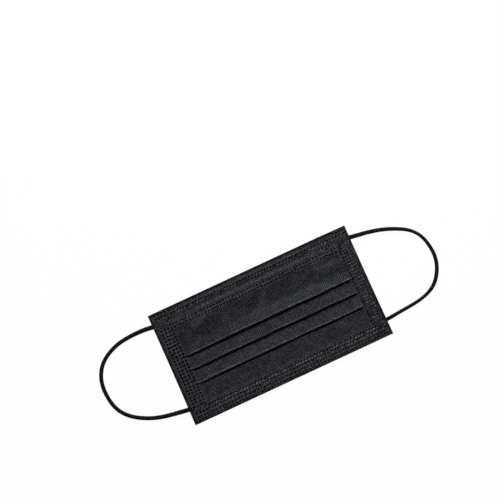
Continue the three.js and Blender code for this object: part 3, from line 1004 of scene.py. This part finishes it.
class MASK_OT_ear_loops(bpy.types.Operator):
    """Knits the two round elastic ear loops"""

    bl_idname = "mask.ear_loops"
    bl_label = "Ear Loops"

    def execute(self, context):
        settings = context.scene.mask_loops
        material = knitted_elastic("knitted_elastic", settings.elastic_colour)
        for side, route in LOOP_ROUTES.items():
            self.knit(side, route, settings, material)
        return {"FINISHED"}

    @staticmethod
    def tucked(route):
        """The route with each end carried on under its side band."""

        def under(end, inner):
            edge = LEFT_EDGE if end[0] < 0 else RIGHT_EDGE
            x = lying(edge, end[1])[0] - math.copysign(LOOP_TUCK, edge)
            slope = (inner[1] - end[1]) / (inner[0] - end[0])
            return x, end[1] + slope * (x - end[0]), end[2]

        return [under(route[0], route[1]), *route[1:-1], under(route[-1], route[-2])]

    def knit(self, side, route, settings, material):
        """A tube along the route, flattened where it goes in under the side bands."""
        radius, sides, ring_step = settings.diameter / MM / 2, 4 * settings.ribs, 0.24
        flat, gap = 0.5, 0.06  # half its height at the ends, and how far it lies over the table
        rings = spline(self.tucked(route), ring_step)
        line, share = rings[:, :2], rings[:, 2]
        heading = np.gradient(line, axis=0)
        heading /= np.linalg.norm(heading, axis=1)[:, None]
        length = run_lengths(line)
        from_end = np.minimum(length, length[-1] - length)
        full = smooth(0.6, 5.5, from_end)
        half_wide = radius * share
        half_high = flat + (radius * (1.5 - 0.5 * share) - flat) * full
        closing = rounded(from_end, 0.4, least=0.02)[:, None]

        angle = np.linspace(0.0, 2 * math.pi, sides, endpoint=False)
        rib = angle * settings.ribs / (2 * math.pi)
        across = np.abs(rib % 1.0 - 0.5) * 2.0
        stitches = length * MM / settings.stitch
        stitch = np.cos(2 * math.pi * (stitches[:, None] + 0.5 * across))
        relief = (0.06 * stitch - 0.13 * across**3) * full[:, None]
        wide = (half_wide[:, None] + relief) * closing * np.cos(angle)
        high = (half_high[:, None] + relief) * closing * np.sin(angle)
        x = line[:, 0, None] + wide * heading[:, 1, None]
        y = line[:, 1, None] - wide * heading[:, 0, None]
        places = np.stack([x, y, half_high[:, None] + gap + high], axis=-1)

        places = np.concatenate([places, places[:, :1]], axis=1)
        around = np.linspace(0.0, 2 * math.pi * radius, sides + 1)
        u, v = np.meshgrid(around, length)
        tube = grid_piece(f"ear_loop_{side}_knit", places, np.stack([u, v], axis=-1))
        self.close(tube)
        shade(tube, material, 60.0)
        settle(tube, "loop_elastic", f"ear_loop_{side}")

    @staticmethod
    def close(tube):
        """Joins a tube's long seam, fills its two ends and turns its faces outwards."""
        edit_all(tube)
        bpy.ops.mesh.remove_doubles(threshold=0.0005 * MM)
        bpy.ops.mesh.select_all(action="DESELECT")
        bpy.ops.mesh.select_non_manifold()
        bpy.ops.mesh.edge_face_add()
        face_outwards(tube)


class MASK_OT_cloth(bpy.types.Operator):
    """Folds the pleated panel and the two hems"""

    bl_idname = "mask.cloth"
    bl_label = "Pleated Cloth and Hems"

    def execute(self, context):
        settings = context.scene.mask_cloth
        black = nonwoven("black_nonwoven", settings.cloth_colour, settings.film_colour)
        dull = nonwoven("hem_nonwoven", settings.pressed_colour, settings.film_colour)
        dots = weld_dots()

        step = settings.panel_step / MM
        line = panel_line(step)
        panel = cloth_piece("pleated_cloth", line, stations(step), len(line), dots, panel_painted_light)
        self.finish(panel, black, "panel_cloth", "pleated_panel", line)

        step = settings.weld_step / MM
        for name, node, form, ridge, material in (
            ("nose_hem_cloth", "top_hem", NOSE_HEM, wire_ridge, black),
            ("chin_hem_cloth", "bottom_hem", CHIN_HEM, None, dull),
        ):
            line = hem_line(*form, step)
            leaf = int(np.sum(line[:, 1] > LEAF - 0.01))
            hem = cloth_piece(name, line, stations(step), leaf, dots, hem_painted_light, ridge)
            self.finish(hem, material, "hem_cloth", node, line)
        return {"FINISHED"}

    @staticmethod
    def finish(piece, material, slot, node, line):
        shade(piece, material)
        settle(piece, slot, node)
        width = (RIGHT_SEAM - LEFT_SEAM) * MM


class MASK_OT_side_bands(bpy.types.Operator):
    """Presses the two welded side bands"""

    bl_idname = "mask.side_bands"
    bl_label = "Side Bands"

    def execute(self, context):
        settings = context.scene.mask_cloth
        material = nonwoven("band_nonwoven", settings.pressed_colour, settings.film_colour)
        dots, step = weld_dots(), settings.weld_step / MM
        for side, outer, seam, crease, fuzz_and_painted_light in (
            ("left", LEFT_EDGE, LEFT_SEAM, 0.0, 0.1),
            ("right", RIGHT_EDGE, RIGHT_SEAM, 0.5, -0.06),
        ):
            name = f"side_band_{side}_cloth"
            band = band_piece(name, outer, seam, dots, step, crease, fuzz_and_painted_light)
            shade(band, material)
            settle(band, "band_cloth", f"side_band_{side}")
            abs(outer - seam) * MM
            2 * TOP * MM
        return {"FINISHED"}


class MASK_OT_loop_ends(bpy.types.Operator):
    """Flattens the four welded ends of the ear loops"""

    bl_idname = "mask.loop_ends"
    bl_label = "Loop Ends"

    def execute(self, context):
        settings = context.scene.mask_loops
        material = knitted_elastic("pressed_elastic", settings.elastic_colour)
        for node, (low, high) in LOOP_ENDS.items():
            self.flatten(node, low, high, material)
        return {"FINISHED"}

    @staticmethod
    def flatten(node, low, high, material):
        """A flat block cut in small squares, whose middles are pressed in, with a rounded rim."""
        rim, cuts, border, dent = 0.22 * MM, 7, 0.1 * MM, 0.07 * MM
        hidden = 0.05  # how far it stays from the end of the round loop

        def lies_flat(face):
            return abs(face.normal.z) > 0.99

        outwards = math.copysign(1.0, low[0])
        level = (low[1] + high[1]) / 2
        edge = lying(math.copysign(RIGHT_EDGE, outwards), level)[0]
        inner = lying(low[0] if outwards > 0 else high[0], level)[0]
        reach = sorted((inner, edge - outwards * (LOOP_TUCK + hidden)))
        low, high = (reach[0], *low[1:]), (reach[1], *high[1:])
        middle = [(a + b) / 2 * MM for a, b in zip(low, high)]
        size = [(b - a) * MM for a, b in zip(low, high)]
        select_only()
        bpy.ops.mesh.primitive_cube_add(size=1.0, location=middle, scale=size)
        end = bpy.context.object
        end.name = f"{node}_pressed"
        bpy.ops.object.transform_apply(location=True, rotation=True, scale=True)
        edit_all(end)
        bpy.ops.mesh.bevel(offset=rim, segments=3, affect="EDGES")
        select_faces(end, lies_flat)
        bpy.ops.mesh.subdivide(number_cuts=cuts)
        select_faces(end, lies_flat)
        bpy.ops.mesh.inset(thickness=border, depth=-dent, use_individual=True)
        bpy.ops.object.mode_set(mode="OBJECT")
        shade(end, material, 50.0)
        end.data.uv_layers[0].name = "cloth"
        settle(end, "loop_elastic", node)


class MASK_OT_nose_wire(bpy.types.Operator):
    """Coats the flat nose wire in the hem"""

    bl_idname = "mask.nose_wire"
    bl_label = "Nose Wire"

    def execute(self, context):
        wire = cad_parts["nose_wire"]
        coat = coated_wire("wire_coat", context.scene.mask_loops.wire_colour)
        wire.data.materials.clear()
        wire.data.materials.append(coat)
        return {"FINISHED"}


class MASK_PT_sidebar(bpy.types.Panel):
    """Lists the mask's settings and the steps that build it"""

    bl_idname = "MASK_PT_sidebar"
    bl_label = "Face Mask"
    bl_space_type = "VIEW_3D"
    bl_region_type = "UI"
    bl_category = "Face Mask"

    def draw(self, context):
        for group in SETTINGS:
            box = self.layout.box()
            settings = getattr(context.scene, group)
            for name in settings.__annotations__:
                box.prop(settings, name)
        for step in STEPS:
            self.layout.operator(step.bl_idname)


SETTINGS = {
    "mask_cloth": MaskClothSettings,
    "mask_loops": MaskLoopSettings,
    "mask_stage": MaskStageSettings,
}
STEPS = (
    MASK_OT_stage,
    MASK_OT_ear_loops,
    MASK_OT_cloth,
    MASK_OT_side_bands,
    MASK_OT_loop_ends,
    MASK_OT_nose_wire,
)
CLASSES = (*SETTINGS.values(), *STEPS, MASK_PT_sidebar)


def register():
    for made in CLASSES:
        bpy.utils.register_class(made)
    for name, group in SETTINGS.items():
        setattr(bpy.types.Scene, name, bpy.props.PointerProperty(type=group))


def unregister():
    for name in SETTINGS:
        delattr(bpy.types.Scene, name)
    for made in reversed(CLASSES):
        bpy.utils.unregister_class(made)


def main():
    register()
    for step in STEPS:
        group, action = step.bl_idname.split(".")
        getattr(getattr(bpy.ops, group), action)()


if __name__ == "__main__":
    main()
